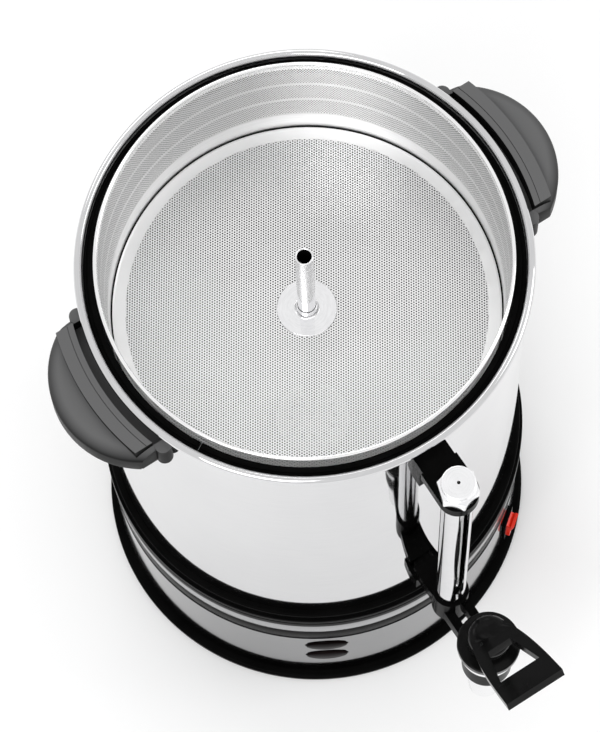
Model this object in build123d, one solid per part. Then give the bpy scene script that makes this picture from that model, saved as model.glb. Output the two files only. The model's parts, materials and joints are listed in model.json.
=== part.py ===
from build123d import *
import os
from math import cos, radians, sin

os.makedirs("parts", exist_ok=True)

# Catering coffee percolator urn. Millimetres. Origin: centre of the foot, on the table; +Z up.
# The tap and sight gauge face -Y, and the two handles lie on the X axis.

# Body
RIM_TOP = 450.0
BEAD_MINOR = 2.6
BEAD_CENTRE_R = 132.4
BEAD_SHEET = 0.8
SHELL_R = 132.0
SHEET = 0.8
SHELL_FOOT_Z = 134.0
VESSEL_R = 128.2
VESSEL_FLOOR_Z = 142.0
VESSEL_LIP_Z = 438.0
GASKET_IN_R = 123.4
GASKET_OUT_R = 129.7
GASKET_TOP_Z = 445.0

# Base
COLLAR_TOP_Z = 150.0
COLLAR_UPPER_R = 136.4
COLLAR_LOWER_R = 138.4
COLLAR_STEP_Z = 143.8
TRIM_TOP_Z = 130.0
TRIM_FOOT_Z = 114.0
TRIM_R = 137.6
HOUSING_R = 137.0
SKIRT_TOP_Z = 93.0
SKIRT_R = 137.3
FOOT_TOP_Z = 6.0
FOOT_R = 142.9

# Filter basket and pump
BASKET_BEAD_R = 123.1
BASKET_TOP_Z = 457.0
BASKET_WALL_TOP_R = 121.0
BASKET_WALL_FOOT_R = 118.6
BASKET_FLOOR_Z = 366.0
BASKET_SHEET = 0.6
BOSS_R = 18.5
BOSS_COLLAR_R = 6.45
BOSS_BORE_R = 5.8
TUBE_R = 5.5
TUBE_BORE_R = 4.35
TUBE_TOP_Z = 458.0
PUMP_FOOT_R = 24.0

# Sight gauge and tap
GAUGE_Y = -162.0
GUARD_R = 9.5
GUARD_BORE_R = 8.3
GLASS_R = 6.5
GLASS_BORE_R = 5.0
GUARD_FOOT_Z = 209.0
GUARD_TOP_Z = 431.0
BRACKET_FOOT_Z = 427.0
BRACKET_TOP_Z = 437.0
BRACKET_SCREW_Z = 410.0
NUT_ACROSS_FLATS = 22.0
NUT_TOP_Z = 446.0
CAP_R = 10.2
CAP_TOP_Z = 454.5
VALVE_Y = -205.0
ARM_FOOT_Z = 185.0
ARM_TOP_Z = 200.0
ARM_OUT_X = 9.2
ARM_IN_X = 3.3
SHANK_Z = 192.0
CHAMBER_R = 16.0
BONNET_R = 20.0
BONNET_TOP_Z = 223.0
BONNET_NECK_R = 16.0
FLANGE_FOOT_Z = 216.8
FLANGE_ROUND = 1.0
RING_R = 17.9
RING_FOOT_Z = 203.0
CHAMBER_TOP_Z = 207.0
CHAMBER_BORE_R = 12.0
SPRING_TOP_Z = 219.0
SPOUT_TOP_Z = 172.0
SPOUT_OUTLET_Z = 118.0
PIVOT_Z = 229.0
PIN_R = 1.5
STEM_R = 3.0
STEM_FIT = 0.05
PIN_FIT = 0.08
HUB_R = 13.6
HUB_FOOT_Z = 223.6
HUB_TOP_Z = 243.0
HUB_ROUND = 5.0
LOOP_Z = 240.0
LOOP_SLOPE = 30.0
LOOP_FAR = 56.6
LOOP_HALF_THICK = 3.0
WINDOW_NEAR = 13.0
WINDOW_FAR = 39.0
RELIEF_SLOPE = 24.0
EAR_HALF_LENGTH = 4.0
EAR_TOP_Z = 232.2
EAR_IN_X = 4.0
EAR_OUT_X = 6.4

# Handles
HANDLE_PLATE_TOP_Z = 445.0
HANDLE_FOOT_Z = 416.0
HANDLE_HALF_LENGTH = 43.6
GRIP_BOW_R = 55.5
GRIP_BOW_CENTRE = 112.5
GRIP_WALL = 3.6
GRIP_TOP_Z = 441.0
GRIP_TOP_ROUND = 10.0
GRIP_LIP_ROUND = 3.0
CHEEK = 3.0
CHEEK_FOOT_Z = 420.0
TAB_R = 5.0
TAB_X = 127.5
CARRIER_WALL_R = 135.6
CARRIER_HALF_DEG = 25.0
PLATE_IN_R = 139.5
PLATE_OUT_R = 150.5
WEB_FOOT_Z = 427.0
WEB_TOP_Z = 431.0
SEAM_R = 143.0
SEAM_WIDTH = 0.4
SEAM_DEPTH = 0.6
HANDLE_SCREW_DEG = (-9.0, 9.0)
HANDLE_SCREW_Z = 421.0
HANDLE_SCREW_R = 2.0

# Switch and lamps on the skirt
SWITCH_DEG = -52.0
SWITCH_Z = 49.0
ROCKER_W = 10.5
ROCKER_H = 23.0
ROCKER_AXIS_OUT = -3.0
ROCKER_END_R = 12.0
TRUNNION_R = 1.5
TRUNNION_FIT = 0.06
TRUNNION_LENGTH = 0.9
LAMP_DEG = -119.5
LAMP_Z = (76.0, 50.0)
LAMP_HALF_W = 14.6
LAMP_HALF_H = 8.6

# Openings in the shell and vessel for the tap's shank
SHANK_R = 7.2
SHANK_HOLE_R = 7.5

# Bottom cover, its screws and vents
PLATE_R = 132.7
PLATE_FOOT_Z = 4.2
PLATE_SHEET = 1.0
PLATE_SCREW_R = 2.0
PLATE_SCREW_CIRCLE = 130.5
PLATE_SCREW_DEG = (30, 150, 270)
VENT_LENGTH = 26.0
VENT_WIDTH = 4.0
VENT_CIRCLE = 90.0

# Heater and its controls, under the vessel floor
HEATER_R = 46.0
HEATER_THICK = 8.0
ELEMENT_RING_R = 56.0
ELEMENT_R = 4.0
ELEMENT_GAP_DEG = 12
CONTROL_X = 22.0

# Switch housing
SWITCH_BODY_W = 13.2
SWITCH_BODY_H = 27.6
BEZEL_W = 15.4
BEZEL_H = 29.6
BEZEL_PROUD = 2.0

# Cord gland at the back
GLAND_Z = 32.0
GLAND_NECK_R = 7.0
GLAND_BORE_R = 4.2
VENTS = 12

FROM_BASE = (Align.CENTER, Align.CENTER, Align.MIN)
GAP = 0.3


def save(node, shape):
    export_step(shape, f"parts/{node}.step")


def post(radius, z0, z1, x=0.0, y=0.0):
    """Solid cylinder from z0 up to z1."""
    return Pos(x, y, z0) * Cylinder(radius, z1 - z0, align=FROM_BASE)


def pipe(inner, outer, z0, z1, x=0.0, y=0.0):
    """Tube from z0 up to z1."""
    return post(outer, z0, z1, x, y) - post(inner, z0, z1, x, y)


def block(x0, x1, y0, y1, z0, z1):
    """Box between six planes."""
    return Pos((x0 + x1) / 2, (y0 + y1) / 2, (z0 + z1) / 2) * Box(x1 - x0, y1 - y0, z1 - z0)


def section(points):
    """Face in the XZ plane through (radius, height) points."""
    return make_face(Polyline([(r, 0, z) for r, z in points], close=True))


def turned(points, x=0.0, y=0.0):
    """Solid of revolution about a vertical axis."""
    return Pos(x, y, 0) * revolve(section(points), Axis.Z)


def arc_block(points, start_deg, end_deg):
    """Section swept about Z between two angles from +X."""
    return Rot(0, 0, start_deg) * revolve(section(points), Axis.Z, end_deg - start_deg)


def slab(outline, z0, z1):
    """Plan outline raised from z0 to z1."""
    return Pos(0, 0, z0) * extrude(make_face(outline), z1 - z0)


def rod(radius, start, direction, length):
    """Cylinder from a start point along a direction."""
    return extrude(Plane(start, z_dir=direction) * Circle(radius), length)


def on_wall(deg, radius, z):
    """Frame on the side wall: x along the wall to the right seen from outside, y up, z outward."""
    a = radians(deg)
    outward = (cos(a), sin(a), 0)
    return Plane((radius * cos(a), radius * sin(a), z), x_dir=(-sin(a), cos(a), 0), z_dir=outward)


# ---------------------------------------------------------------- body
def outer_shell():
    """Wall with its top edge rolled outward and down into an open bead."""
    bead_z = RIM_TOP - BEAD_MINOR
    inner_r = SHELL_R - SHEET
    ring = Pos(BEAD_CENTRE_R, 0, bead_z) * (
        Plane.XZ * (Circle(BEAD_MINOR) - Circle(BEAD_MINOR - BEAD_SHEET))
    )
    mouth = section([(SHELL_R, 440), (BEAD_CENTRE_R + 1.4, 440), (BEAD_CENTRE_R + 1.4, bead_z), (SHELL_R, bead_z)])
    wall = section(
        [(inner_r, SHELL_FOOT_Z), (SHELL_R, SHELL_FOOT_Z), (SHELL_R, bead_z - 2.0), (inner_r, bead_z - 2.0)]
    )
    profile = (ring - mouth) + wall
    shell = revolve(profile, Axis.Z)
    shell -= rod(SHANK_HOLE_R, (0, -SHELL_R - 5, SHANK_Z), (0, 1, 0), 12)
    return shell


def inner_vessel():
    """Water vessel with a flat floor and an outward lip that the gasket sits on."""
    lip_r = SHELL_R - SHEET
    vessel = turned(
        [
            (0, VESSEL_FLOOR_Z),
            (VESSEL_R, VESSEL_FLOOR_Z),
            (VESSEL_R, VESSEL_LIP_Z - SHEET),
            (lip_r, VESSEL_LIP_Z - SHEET),
            (lip_r, VESSEL_LIP_Z),
            (VESSEL_R - SHEET, VESSEL_LIP_Z),
            (VESSEL_R - SHEET, VESSEL_FLOOR_Z + SHEET),
            (0, VESSEL_FLOOR_Z + SHEET),
        ]
    )
    vessel -= rod(SHANK_HOLE_R, (0, -SHELL_R, SHANK_Z), (0, 1, 0), 12)
    return vessel


def rim_gasket():
    """Rubber ring between the rim bead and the basket, with a fine groove round its top."""
    groove_r = 127.3
    ring = pipe(GASKET_IN_R, GASKET_OUT_R, VESSEL_LIP_Z, GASKET_TOP_Z)
    return ring - pipe(groove_r, groove_r + 0.5, GASKET_TOP_Z - 0.7, GASKET_TOP_Z)


# ---------------------------------------------------------------- base
def base_collar():
    """Stepped plastic ring that holds the foot of the shell and the vessel."""
    shelf_r = 120.0
    return turned(
        [
            (SHELL_R, COLLAR_TOP_Z),
            (COLLAR_UPPER_R, COLLAR_TOP_Z),
            (COLLAR_UPPER_R, COLLAR_STEP_Z),
            (COLLAR_LOWER_R, COLLAR_STEP_Z),
            (COLLAR_LOWER_R, TRIM_TOP_Z),
            (shelf_r, TRIM_TOP_Z),
            (shelf_r, VESSEL_FLOOR_Z),
            (VESSEL_R + 1.0, VESSEL_FLOOR_Z),
            (VESSEL_R + 1.0, SHELL_FOOT_Z),
            (SHELL_R, SHELL_FOOT_Z),
        ]
    )


def base_housing():
    """Plastic drum between the collar and the skirt; the steel trim band wraps its upper part."""
    seat_r = TRIM_R - 1.0
    inner_r = 133.0
    return turned(
        [
            (inner_r, SKIRT_TOP_Z),
            (HOUSING_R, SKIRT_TOP_Z),
            (HOUSING_R, TRIM_FOOT_Z),
            (seat_r, TRIM_FOOT_Z),
            (seat_r, TRIM_TOP_Z),
            (125.0, TRIM_TOP_Z),
            (125.0, TRIM_TOP_Z - 3.0),
            (inner_r, TRIM_TOP_Z - 3.0),
        ]
    )


def base_skirt():
    """Steel skirt with openings for the switch, the two lamps and the cord gland."""
    skirt = pipe(SKIRT_R - SHEET, SKIRT_R, FOOT_TOP_Z, SKIRT_TOP_Z)
    switch_hole = extrude(on_wall(SWITCH_DEG, SKIRT_R - 6, SWITCH_Z) * Rectangle(SWITCH_BODY_W, SWITCH_BODY_H), 12)
    skirt -= switch_hole
    for z in LAMP_Z:
        skirt -= extrude(on_wall(LAMP_DEG, SKIRT_R - 8, z) * Ellipse(LAMP_HALF_W, LAMP_HALF_H), 16)
    skirt -= extrude(on_wall(90, SKIRT_R - 6, GLAND_Z) * Circle(GLAND_NECK_R), 12)
    return skirt


def foot_ring():
    """Plastic foot that the urn stands on: a rounded flange with a locating lip inside the skirt."""
    ring = turned(
        [
            (128.0, 0),
            (FOOT_R - 1.5, 0),
            (FOOT_R, 1.5),
            (FOOT_R, 4.0),
            (FOOT_R - 2.0, FOOT_TOP_Z),
            (SKIRT_R - SHEET, FOOT_TOP_Z),
            (SKIRT_R - SHEET, FOOT_TOP_Z + 6.0),
            (133.0, FOOT_TOP_Z + 6.0),
            (133.0, 4.2),
            (128.0, 4.2),
        ]
    )
    return ring


def base_plate():
    """Steel bottom cover with a ring of vent slots."""
    plate_top = PLATE_FOOT_Z + PLATE_SHEET
    plate = post(PLATE_R, PLATE_FOOT_Z, plate_top)
    for i in range(VENTS):
        vent = Pos(VENT_CIRCLE, 0, PLATE_FOOT_Z) * Box(VENT_LENGTH, VENT_WIDTH, 3 * PLATE_SHEET)
        plate -= Rot(0, 0, i * 360 / VENTS) * vent
    for spot in plate_screw_spots():
        plate -= post(PLATE_SCREW_R + 0.1, PLATE_FOOT_Z, plate_top, *spot)
    return plate


def plate_screw_spots():
    """Positions of the bottom cover's screws."""
    angles = [radians(deg) for deg in PLATE_SCREW_DEG]
    return [(PLATE_SCREW_CIRCLE * cos(a), PLATE_SCREW_CIRCLE * sin(a)) for a in angles]


def base_plate_screws():
    """Screws through the edge of the bottom cover."""
    top = PLATE_FOOT_Z + 3 * PLATE_SHEET
    return Compound(children=[post(PLATE_SCREW_R, PLATE_FOOT_Z, top, *spot) for spot in plate_screw_spots()])


# ---------------------------------------------------------------- heater and wiring blocks
def heater_block():
    """Aluminium plate clamped to the underside of the vessel floor."""
    return post(HEATER_R, VESSEL_FLOOR_Z - HEATER_THICK, VESSEL_FLOOR_Z)


def heating_element():
    """Tubular element round the plate, open at its two terminals."""
    height = VESSEL_FLOOR_Z - ELEMENT_R
    face = Pos(ELEMENT_RING_R, 0, height) * (Plane.XZ * Circle(ELEMENT_R))
    element = Rot(0, 0, ELEMENT_GAP_DEG) * revolve(face, Axis.Z, 360 - 2 * ELEMENT_GAP_DEG)
    for deg in (ELEMENT_GAP_DEG, -ELEMENT_GAP_DEG):
        a = radians(deg)
        start = (ELEMENT_RING_R * cos(a), ELEMENT_RING_R * sin(a), height)
        element += rod(ELEMENT_R * 0.6, start, (0, 0, -1), 18)
    return element


def thermostat():
    """Disc thermostat screwed under the heater plate."""
    body = post(9.0, VESSEL_FLOOR_Z - 20.0, VESSEL_FLOOR_Z - HEATER_THICK, -CONTROL_X, 0)
    for y in (-6, 6):
        body += block(-CONTROL_X - 1, -CONTROL_X + 1, y - 3, y + 3, VESSEL_FLOOR_Z - 28.0, VESSEL_FLOOR_Z - 20.0)
    return body


def thermal_cutout():
    """Safety cut-out beside the thermostat."""
    body = post(8.0, VESSEL_FLOOR_Z - 18.0, VESSEL_FLOOR_Z - HEATER_THICK, CONTROL_X, 0)
    for y in (-5, 5):
        body += block(CONTROL_X - 1, CONTROL_X + 1, y - 2.5, y + 2.5, VESSEL_FLOOR_Z - 25.0, VESSEL_FLOOR_Z - 18.0)
    return body


def terminal_block():
    """Three-way screw terminal block standing on the bottom cover."""
    body = block(-18, 18, 88, 104, 5.2, 23.2)
    for x in (-11, 0, 11):
        body -= post(2.5, 12, 24, x, 92)
        body -= rod(2.0, (x, 80, 12), (0, 1, 0), 30)
    return body


def cord_gland():
    """Gland at the back, bored for the mains cord."""
    frame = on_wall(90, SKIRT_R, GLAND_Z)
    body = extrude(frame * Circle(GLAND_NECK_R + 3.0), 5)
    body += extrude(frame * Circle(GLAND_NECK_R), -9)
    body += extrude(on_wall(90, SKIRT_R - 5.0, GLAND_Z) * Circle(GLAND_NECK_R + 3.0), -4)
    body -= extrude(on_wall(90, SKIRT_R - 20, GLAND_Z) * Circle(GLAND_BORE_R), 40)
    return body - (pipe(SKIRT_R - SHEET, SKIRT_R, 0, 60) - extrude(frame * Circle(GLAND_NECK_R), -12))


# ---------------------------------------------------------------- handles (built on +X)
def handle_bracket():
    """Carrier screwed to the shell: a back wall, and a top plate held off it by a web."""
    bracket = arc_block(
        [
            (SHELL_R, HANDLE_FOOT_Z),
            (CARRIER_WALL_R, HANDLE_FOOT_Z),
            (CARRIER_WALL_R, WEB_FOOT_Z),
            (PLATE_OUT_R, WEB_FOOT_Z),
            (PLATE_OUT_R, HANDLE_PLATE_TOP_Z),
            (PLATE_IN_R, HANDLE_PLATE_TOP_Z),
            (PLATE_IN_R, WEB_TOP_Z),
            (SHELL_R, WEB_TOP_Z),
        ],
        -CARRIER_HALF_DEG,
        CARRIER_HALF_DEG,
    )
    half = HANDLE_HALF_LENGTH
    bracket &= block(0, PLATE_OUT_R + 1, -half, half, HANDLE_FOOT_Z, HANDLE_PLATE_TOP_Z)
    seam_foot = HANDLE_PLATE_TOP_Z - SEAM_DEPTH
    bracket -= pipe(SEAM_R, SEAM_R + SEAM_WIDTH, seam_foot, HANDLE_PLATE_TOP_Z)
    for deg in HANDLE_SCREW_DEG:
        bracket -= extrude(on_wall(deg, SHELL_R - 1, HANDLE_SCREW_Z) * Circle(HANDLE_SCREW_R), 8)
    return bracket


def handle_grip():
    """Scoop grip: a bowed shell, open below for the fingers, closed at each end by a flat cheek with a tab."""
    bow = Pos(GRIP_BOW_CENTRE, 0, HANDLE_FOOT_Z) * Cylinder(GRIP_BOW_R, GRIP_TOP_Z - HANDLE_FOOT_Z, align=FROM_BASE)
    bow = fillet(bow.edges().sort_by(Axis.Z)[-1], GRIP_TOP_ROUND)
    bow = fillet(bow.edges().sort_by(Axis.Z)[0], GRIP_LIP_ROUND)
    hollow_r = GRIP_BOW_R - GRIP_WALL
    hollow_foot = HANDLE_FOOT_Z - 1
    hollow_top = GRIP_TOP_Z - GRIP_WALL
    hollow = Pos(GRIP_BOW_CENTRE, 0, hollow_foot) * Cylinder(hollow_r, hollow_top - hollow_foot, align=FROM_BASE)
    hollow = fillet(hollow.edges().sort_by(Axis.Z)[-1], GRIP_TOP_ROUND - GRIP_WALL)
    shelled = bow - hollow - post(PLATE_OUT_R, hollow_foot, GRIP_TOP_Z)
    cheek_in = HANDLE_HALF_LENGTH + GAP
    cheek_out = cheek_in + CHEEK
    grip = shelled & block(0, 200, -cheek_out, cheek_out, HANDLE_FOOT_Z, GRIP_TOP_Z)
    cheek_shape = bow - post(SHELL_R, HANDLE_FOOT_Z, GRIP_TOP_Z)
    for low, high in ((-cheek_out, -cheek_in), (cheek_in, cheek_out)):
        grip += cheek_shape & block(0, 200, low, high, CHEEK_FOOT_Z, GRIP_TOP_Z)
        side = 1 if low > 0 else -1
        tab = post(TAB_R, CHEEK_FOOT_Z, GRIP_TOP_Z, TAB_X, side * cheek_out)
        grip += tab - post(SHELL_R, HANDLE_FOOT_Z, GRIP_TOP_Z) - block(
            0, 200, -cheek_in, cheek_in, HANDLE_FOOT_Z, GRIP_TOP_Z
        )
    return grip


def handle_screws():
    """Four screws, two behind each grip."""
    shapes = []
    for side in (0, 180):
        for deg in HANDLE_SCREW_DEG:
            frame = on_wall(side + deg, SHELL_R, HANDLE_SCREW_Z)
            head = extrude(on_wall(side + deg, CARRIER_WALL_R, HANDLE_SCREW_Z) * Circle(4.0), 2.4)
            shapes.append(extrude(frame * Circle(HANDLE_SCREW_R), 3.6) + head)
    return Compound(children=shapes)


# ---------------------------------------------------------------- sight gauge
def gauge_bracket():
    """Arm under the rim that carries the top of the gauge; it widens past a step and ends round."""
    root_x = 11.0
    wide_x = 12.2
    step_y = -142.0
    end_r = 12.4
    outline = Polyline((-root_x, -125), (-root_x, step_y), (-wide_x, step_y), (-end_r, GAUGE_Y))
    outline += ThreePointArc((-end_r, GAUGE_Y), (0, GAUGE_Y - end_r), (end_r, GAUGE_Y))
    outline += Polyline((end_r, GAUGE_Y), (wide_x, step_y), (root_x, step_y), (root_x, -125), (-root_x, -125))
    arm = slab(outline, BRACKET_FOOT_Z, BRACKET_TOP_Z)
    arm += block(-root_x, root_x, -139, -125, BRACKET_FOOT_Z - 26, BRACKET_FOOT_Z)
    arm -= post(SHELL_R, 380, 460)
    arm -= post(GUARD_R, BRACKET_FOOT_Z, GUARD_TOP_Z, 0, GAUGE_Y)
    arm -= post(GUARD_BORE_R, GUARD_TOP_Z, BRACKET_TOP_Z, 0, GAUGE_Y)
    arm -= rod(2.2, (0, -120, BRACKET_SCREW_Z), (0, -1, 0), 30)
    return arm


def gauge_bracket_screw():
    """Screw through the bracket's foot into the shell."""
    return rod(2.2, (0, -132.2, BRACKET_SCREW_Z), (0, -1, 0), 6.8) + rod(
        4.0, (0, -139, BRACKET_SCREW_Z), (0, -1, 0), 2.2
    )


def gauge_cap():
    """Machined cap: hex nut, round head with a vent hole, and a spigot down into the bracket."""
    nut = Pos(0, GAUGE_Y, BRACKET_TOP_Z) * extrude(
        RegularPolygon(NUT_ACROSS_FLATS / 2, 6, major_radius=False, rotation=14), NUT_TOP_Z - BRACKET_TOP_Z
    )
    head = post(CAP_R, NUT_TOP_Z, CAP_TOP_Z, 0, GAUGE_Y)
    head = chamfer(head.edges().sort_by(Axis.Z)[-1], 0.4)
    groove = pipe(CAP_R - 0.5, CAP_R + 1, NUT_TOP_Z + 2.4, NUT_TOP_Z + 3.0, 0, GAUGE_Y)
    spigot = post(GUARD_BORE_R, GUARD_TOP_Z, BRACKET_TOP_Z, 0, GAUGE_Y)
    cap = nut + head - groove + spigot
    return cap - post(1.0, GUARD_TOP_Z, CAP_TOP_Z, 0, GAUGE_Y)


def gauge_guard_tube():
    """Polished guard tube with a round-ended window slot that faces away from the urn."""
    slot_half = 3.0
    slot_low = 239.0
    slot_high = 418.0
    tube = pipe(GUARD_BORE_R, GUARD_R, GUARD_FOOT_Z, GUARD_TOP_Z, 0, GAUGE_Y)
    tube -= block(-slot_half, slot_half, GAUGE_Y - 12, GAUGE_Y, slot_low, slot_high)
    for z in (slot_low, slot_high):
        tube -= rod(slot_half, (0, GAUGE_Y, z), (0, -1, 0), 12)
    return tube


def gauge_glass():
    """Sight glass inside the guard tube."""
    return pipe(GLASS_BORE_R, GLASS_R, GUARD_FOOT_Z + 3.0, GUARD_TOP_Z - 2.0, 0, GAUGE_Y)


def gauge_seals():
    """Rubber cups that hold the glass at its two ends."""
    foot = post(GUARD_BORE_R, GUARD_FOOT_Z, GUARD_FOOT_Z + 9.0, 0, GAUGE_Y)
    foot -= post(GLASS_R, GUARD_FOOT_Z + 3.0, GUARD_FOOT_Z + 9.0, 0, GAUGE_Y)
    foot -= post(2.0, GUARD_FOOT_Z, GUARD_FOOT_Z + 3.0, 0, GAUGE_Y)
    head = pipe(GLASS_R, GUARD_BORE_R, GUARD_TOP_Z - 9.0, GUARD_TOP_Z - 2.0, 0, GAUGE_Y)
    head += pipe(2.0, GUARD_BORE_R, GUARD_TOP_Z - 2.0, GUARD_TOP_Z, 0, GAUGE_Y)
    return Compound(children=[foot, head])


# ---------------------------------------------------------------- tap
def tap_body():
    """Mount plate, gauge socket, twin hollow arms and valve chamber in one moulding."""
    root_x = 11.0
    body = block(-root_x, root_x, -140, -125, 174, 190) - post(SHELL_R, 150, 220)
    body += block(-ARM_OUT_X, ARM_OUT_X, GAUGE_Y, -134, ARM_FOOT_Z, ARM_TOP_Z) - post(SHELL_R, 150, 220)
    body += post(11.5, 183, 216, 0, GAUGE_Y)
    for side in (-1, 1):
        low, high = sorted((side * ARM_IN_X, side * ARM_OUT_X))
        body += block(low, high, VALVE_Y, GAUGE_Y, ARM_FOOT_Z, ARM_TOP_Z)
    body += post(CHAMBER_R, SPOUT_TOP_Z, CHAMBER_TOP_Z, 0, VALVE_Y)
    body += rod(SHANK_R, (0, -134, SHANK_Z), (0, 1, 0), 22)
    body -= post(GUARD_R, GUARD_FOOT_Z, 216, 0, GAUGE_Y)
    body -= post(2.0, SHANK_Z, GUARD_FOOT_Z, 0, GAUGE_Y)
    body -= post(CHAMBER_BORE_R, 178, CHAMBER_TOP_Z, 0, VALVE_Y)
    body -= post(6.0, SPOUT_TOP_Z, 178, 0, VALVE_Y)
    body -= rod(4.5, (0, GAUGE_Y, SHANK_Z), (0, 1, 0), 60)
    for side in (-1, 1):
        x = side * (ARM_IN_X + ARM_OUT_X) / 2
        body -= block(x - 1.5, x + 1.5, VALVE_Y, GAUGE_Y + 2, SHANK_Z - 4, SHANK_Z + 4)
    return body


def tap_gasket():
    """Rubber washer between the vessel wall and the backing nut."""
    return rod(12.0, (0, -122.0, SHANK_Z), (0, 1, 0), 2.4) - rod(SHANK_R, (0, -124, SHANK_Z), (0, 1, 0), 8)


def tap_back_nut():
    """Hex nut inside the vessel that clamps the tap."""
    frame = Plane((0, -119.6, SHANK_Z), x_dir=(1, 0, 0), z_dir=(0, 1, 0))
    return extrude(frame * (RegularPolygon(12, 6, major_radius=False) - Circle(SHANK_R)), 5)


def tap_bonnet():
    """Flanged cap over the valve chamber, with two ears for the lever pin."""
    bonnet = post(BONNET_R, FLANGE_FOOT_Z, BONNET_TOP_Z, 0, VALVE_Y)
    bonnet = fillet(bonnet.edges().sort_by(Axis.Z)[-1], FLANGE_ROUND)
    bonnet += post(BONNET_NECK_R, CHAMBER_TOP_Z, FLANGE_FOOT_Z, 0, VALVE_Y)
    bonnet -= post(CHAMBER_BORE_R, CHAMBER_TOP_Z, SPRING_TOP_Z, 0, VALVE_Y)
    bonnet -= post(STEM_R + STEM_FIT, SPRING_TOP_Z, BONNET_TOP_Z, 0, VALVE_Y)
    for low, high in ((-EAR_OUT_X, -EAR_IN_X), (EAR_IN_X, EAR_OUT_X)):
        ear = block(low, high, VALVE_Y - EAR_HALF_LENGTH, VALVE_Y + EAR_HALF_LENGTH, BONNET_TOP_Z, EAR_TOP_Z)
        bonnet += ear - rod(PIN_R + PIN_FIT, (low - 1, VALVE_Y, PIVOT_Z), (1, 0, 0), high - low + 2)
    return bonnet


def bonnet_ring():
    """Plated clamp ring round the bonnet's neck and the top of the chamber."""
    return pipe(BONNET_NECK_R, RING_R, RING_FOOT_Z, FLANGE_FOOT_Z, 0, VALVE_Y)


def tap_spout():
    """Polished spout under the chamber, narrowing to its outlet."""
    return turned(
        [
            (9.0, SPOUT_OUTLET_Z),
            (10.5, SPOUT_OUTLET_Z),
            (12.0, 150),
            (14.5, 160),
            (14.5, SPOUT_TOP_Z),
            (11.0, SPOUT_TOP_Z),
            (11.0, 160),
            (9.0, 150),
        ],
        0,
        VALVE_Y,
    )


def tap_lever():
    """Domed hub over the bonnet's ears, and a sloping loop with bowed arms and a grip bar at its outer end."""
    tilt = radians(LOOP_SLOPE)
    frame = Plane((0, VALVE_Y, LOOP_Z), x_dir=(1, 0, 0), z_dir=(0, sin(tilt), cos(tilt)))
    right_edge = Spline((10, 8), (15.4, -8), (18.6, -26), (20.5, -LOOP_FAR))
    left_edge = Spline((-20.5, -LOOP_FAR), (-18.6, -26), (-15.4, -8), (-10, 8))
    far_edge = Line((20.5, -LOOP_FAR), (-20.5, -LOOP_FAR))
    near_edge = Line((-10, 8), (10, 8))
    outer = make_face([right_edge, far_edge, left_edge, near_edge])
    window = make_face(
        Polyline((-8.2, -WINDOW_NEAR), (8.2, -WINDOW_NEAR), (14.2, -WINDOW_FAR), (-14.2, -WINDOW_FAR), close=True)
    )
    loop = extrude(frame * (outer - window), LOOP_HALF_THICK, both=True)
    hub = post(HUB_R, HUB_FOOT_Z, HUB_TOP_Z, 0, VALVE_Y)
    hub = fillet(hub.edges().sort_by(Axis.Z)[-1], HUB_ROUND)
    lever = hub + (loop - post(60, 0, HUB_FOOT_Z, 0, VALVE_Y))
    clear = EAR_OUT_X + GAP
    lever -= block(-clear, clear, VALVE_Y - 9, VALVE_Y + 9, HUB_FOOT_Z - 1, EAR_TOP_Z + 5.2)
    underside = (0, -sin(radians(RELIEF_SLOPE)), -cos(radians(RELIEF_SLOPE)))
    relief = Plane((0, VALVE_Y, PIVOT_Z - 3.4), x_dir=(1, 0, 0), z_dir=underside)
    lever -= extrude(relief * Pos(0, 40, 0) * Rectangle(60, 80), 40)
    return lever - rod(PIN_R, (-HUB_R - 1, VALVE_Y, PIVOT_Z), (1, 0, 0), 2 * HUB_R + 2)


def lever_pin():
    """Steel pin through the lever and the bonnet's ears."""
    return rod(PIN_R, (-12.6, VALVE_Y, PIVOT_Z), (1, 0, 0), 25.2)


def valve_stem():
    """Stem from the seat cup up through the bonnet to a flat head between the ears."""
    stem = post(STEM_R, 186, PIVOT_Z - 5.2, 0, VALVE_Y)
    return stem + post(5.4, 196, 197.4, 0, VALVE_Y)


def seat_cup():
    """Silicone cup that closes the valve seat."""
    cup = post(8.4, 178, 190, 0, VALVE_Y)
    return cup - post(STEM_R, 186, 190, 0, VALVE_Y)


def valve_spring():
    """Compression spring between the stem's collar and the bonnet."""
    coil_r = 5.6
    wire_r = 0.55
    low = 197.4 + wire_r
    high = 219.0 - wire_r
    path = Helix(pitch=3.4, height=high - low, radius=coil_r)
    wire = sweep(Plane(path @ 0, z_dir=path % 0) * Circle(wire_r), path=path)
    return Pos(0, VALVE_Y, low) * wire


# ---------------------------------------------------------------- switch and lamps
def switch_housing():
    """Housing behind the skirt with a thin bezel round the rocker's opening."""
    frame = on_wall(SWITCH_DEG, SKIRT_R, SWITCH_Z)
    room = ROCKER_W + 2 * GAP
    body = extrude(frame * Rectangle(SWITCH_BODY_W, SWITCH_BODY_H), -22)
    body += extrude(frame * Rectangle(BEZEL_W, BEZEL_H), BEZEL_PROUD)
    cavity = frame * Rectangle(room, 2 * (ROCKER_END_R + GAP))
    body -= extrude(cavity, BEZEL_PROUD + 1) + extrude(cavity, -17)
    axle = on_wall(SWITCH_DEG, SKIRT_R + ROCKER_AXIS_OUT, SWITCH_Z)
    body -= rod_along(axle, TRUNNION_R + TRUNNION_FIT, ROCKER_W + 2 * TRUNNION_LENGTH + 0.4)
    skirt_wall = pipe(SKIRT_R - SHEET, SKIRT_R, 0, SKIRT_TOP_Z)
    return body - (skirt_wall - extrude(frame * Rectangle(SWITCH_BODY_W, SWITCH_BODY_H), -10, both=True))


def rod_along(frame, radius, length):
    """Cylinder centred on a wall frame's origin and lying along its x axis."""
    return extrude(Plane(frame.origin, x_dir=frame.z_dir, z_dir=frame.x_dir) * Circle(radius), length / 2, both=True)


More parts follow.
